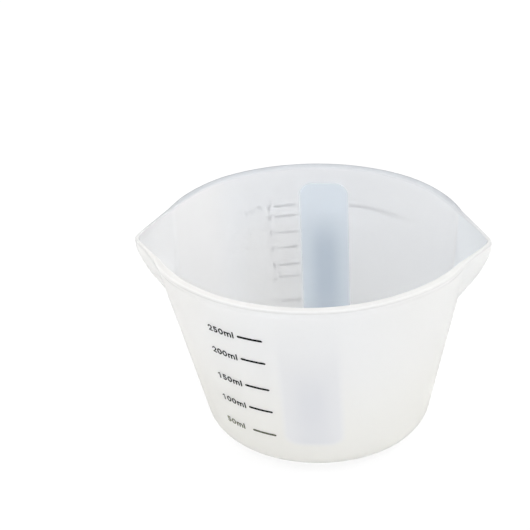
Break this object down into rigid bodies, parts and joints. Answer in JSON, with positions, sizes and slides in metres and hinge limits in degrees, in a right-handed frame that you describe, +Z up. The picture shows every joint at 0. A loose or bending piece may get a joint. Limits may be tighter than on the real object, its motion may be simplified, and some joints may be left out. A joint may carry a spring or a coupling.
{
  "type": "resin mixing cup",
  "caption": "Oval tapering cup of soft frosted silicone with a pouring spout at each end, a rim bead, clear windows and printed volume lines.",
  "frame": {"origin": "on the table, under the middle of the cup", "axes": "+X towards one spout and -X towards the other, -Y towards the millilitre scale, +Z up through the mouth"},
  "size_m": [0.116, 0.0824, 0.078],
  "materials": {
    "silicone": "frosted translucent silicone with two polished clear windows",
    "ink": "satin black printed ink"
  },
  "bodies": {
    "root": {"cup_body": "silicone", "line_250_ml": "ink", "line_200_ml": "ink", "line_150_ml": "ink", "line_100_ml": "ink", "line_50_ml": "ink", "numerals_250_ml": "ink", "numerals_200_ml": "ink", "numerals_150_ml": "ink", "numerals_100_ml": "ink", "numerals_50_ml": "ink", "line_9_oz": "ink", "line_8_oz": "ink", "line_7_oz": "ink", "line_6_oz": "ink", "line_5_oz": "ink", "line_4_oz": "ink", "line_3_oz": "ink", "numerals_9_oz": "ink", "numeral_8_oz": "ink", "numeral_7_oz": "ink", "numeral_6_oz": "ink", "numeral_5_oz": "ink", "numeral_4_oz": "ink", "numeral_3_oz": "ink", "line_one_cup": "ink", "numerals_one_cup": "ink"}
  },
  "joints": []
}
